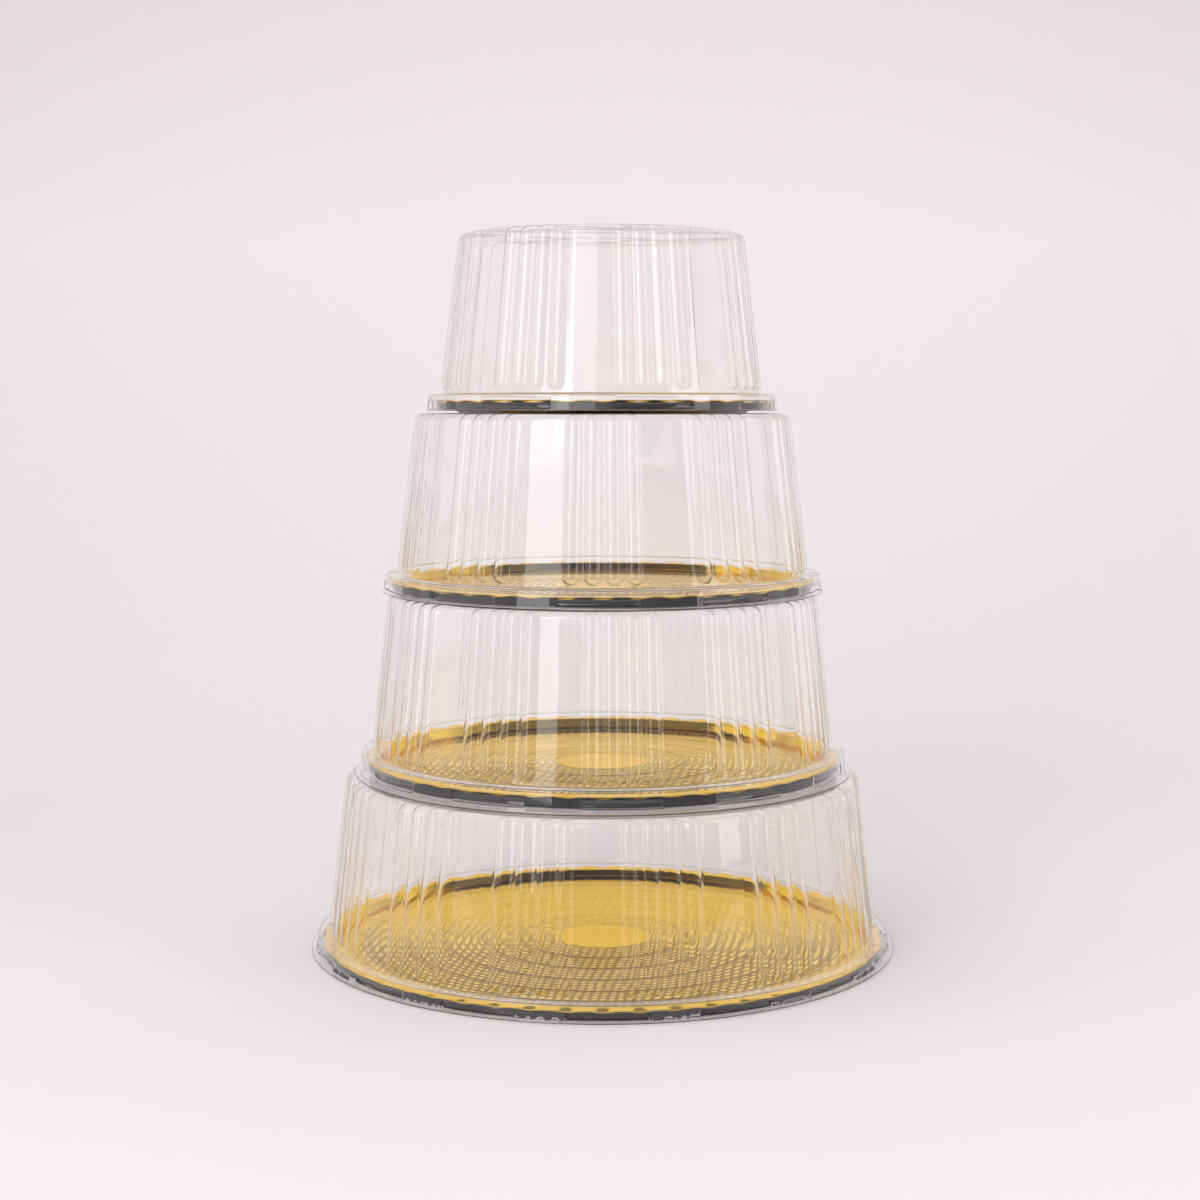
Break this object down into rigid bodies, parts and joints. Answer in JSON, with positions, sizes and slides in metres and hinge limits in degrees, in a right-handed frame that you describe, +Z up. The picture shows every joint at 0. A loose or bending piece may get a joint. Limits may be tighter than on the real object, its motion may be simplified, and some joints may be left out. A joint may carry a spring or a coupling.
{
  "type": "stacked cake container set",
  "caption": "Stack of round cake containers of falling size, each with a black tray, a gold wavy-edged board and a clear ribbed lift-off dome.",
  "frame": {"origin": "centre of the flat ring that the bottom tray stands on, in its plane", "axes": "+Z up along the stack's axis, -Y towards the viewer, +X to the viewer's right"},
  "size_m": [0.33, 0.33, 0.399],
  "materials": {
    "clear_plastic": "clear thermoformed sheet, glossy",
    "gold_board": "gold metallised film, plain in the middle and pressed with rings of slanting dashes, glossy",
    "black_plastic": "black thermoformed sheet, glossy"
  },
  "bodies": {
    "base_12in": {"tray_12in": "black_plastic", "board_12in": "gold_board"},
    "lid_12in": {"dome_12in": "clear_plastic"},
    "base_10in": {"tray_10in": "black_plastic", "board_10in": "gold_board"},
    "lid_10in": {"dome_10in": "clear_plastic"},
    "base_9in": {"tray_9in": "black_plastic", "board_9in": "gold_board"},
    "lid_9in": {"dome_9in": "clear_plastic"},
    "base_7in": {"tray_7in": "black_plastic", "board_7in": "gold_board"},
    "lid_7in": {"dome_7in": "clear_plastic"}
  },
  "joints": [
    {"name": "lid_12in_lift", "type": "slide", "parent": "base_12in", "child": "lid_12in", "axis": [0, 0, 1], "range_m": [0, 0.12]},
    {"name": "base_10in_lift", "type": "slide", "parent": "lid_12in", "child": "base_10in", "axis": [0, 0, 1], "range_m": [0, 0.06]},
    {"name": "lid_10in_lift", "type": "slide", "parent": "base_10in", "child": "lid_10in", "axis": [0, 0, 1], "range_m": [0, 0.12]},
    {"name": "base_9in_lift", "type": "slide", "parent": "lid_10in", "child": "base_9in", "axis": [0, 0, 1], "range_m": [0, 0.06]},
    {"name": "lid_9in_lift", "type": "slide", "parent": "base_9in", "child": "lid_9in", "axis": [0, 0, 1], "range_m": [0, 0.12]},
    {"name": "base_7in_lift", "type": "slide", "parent": "lid_9in", "child": "base_7in", "axis": [0, 0, 1], "range_m": [0, 0.06]},
    {"name": "lid_7in_lift", "type": "slide", "parent": "base_7in", "child": "lid_7in", "axis": [0, 0, 1], "range_m": [0, 0.12]}
  ]
}
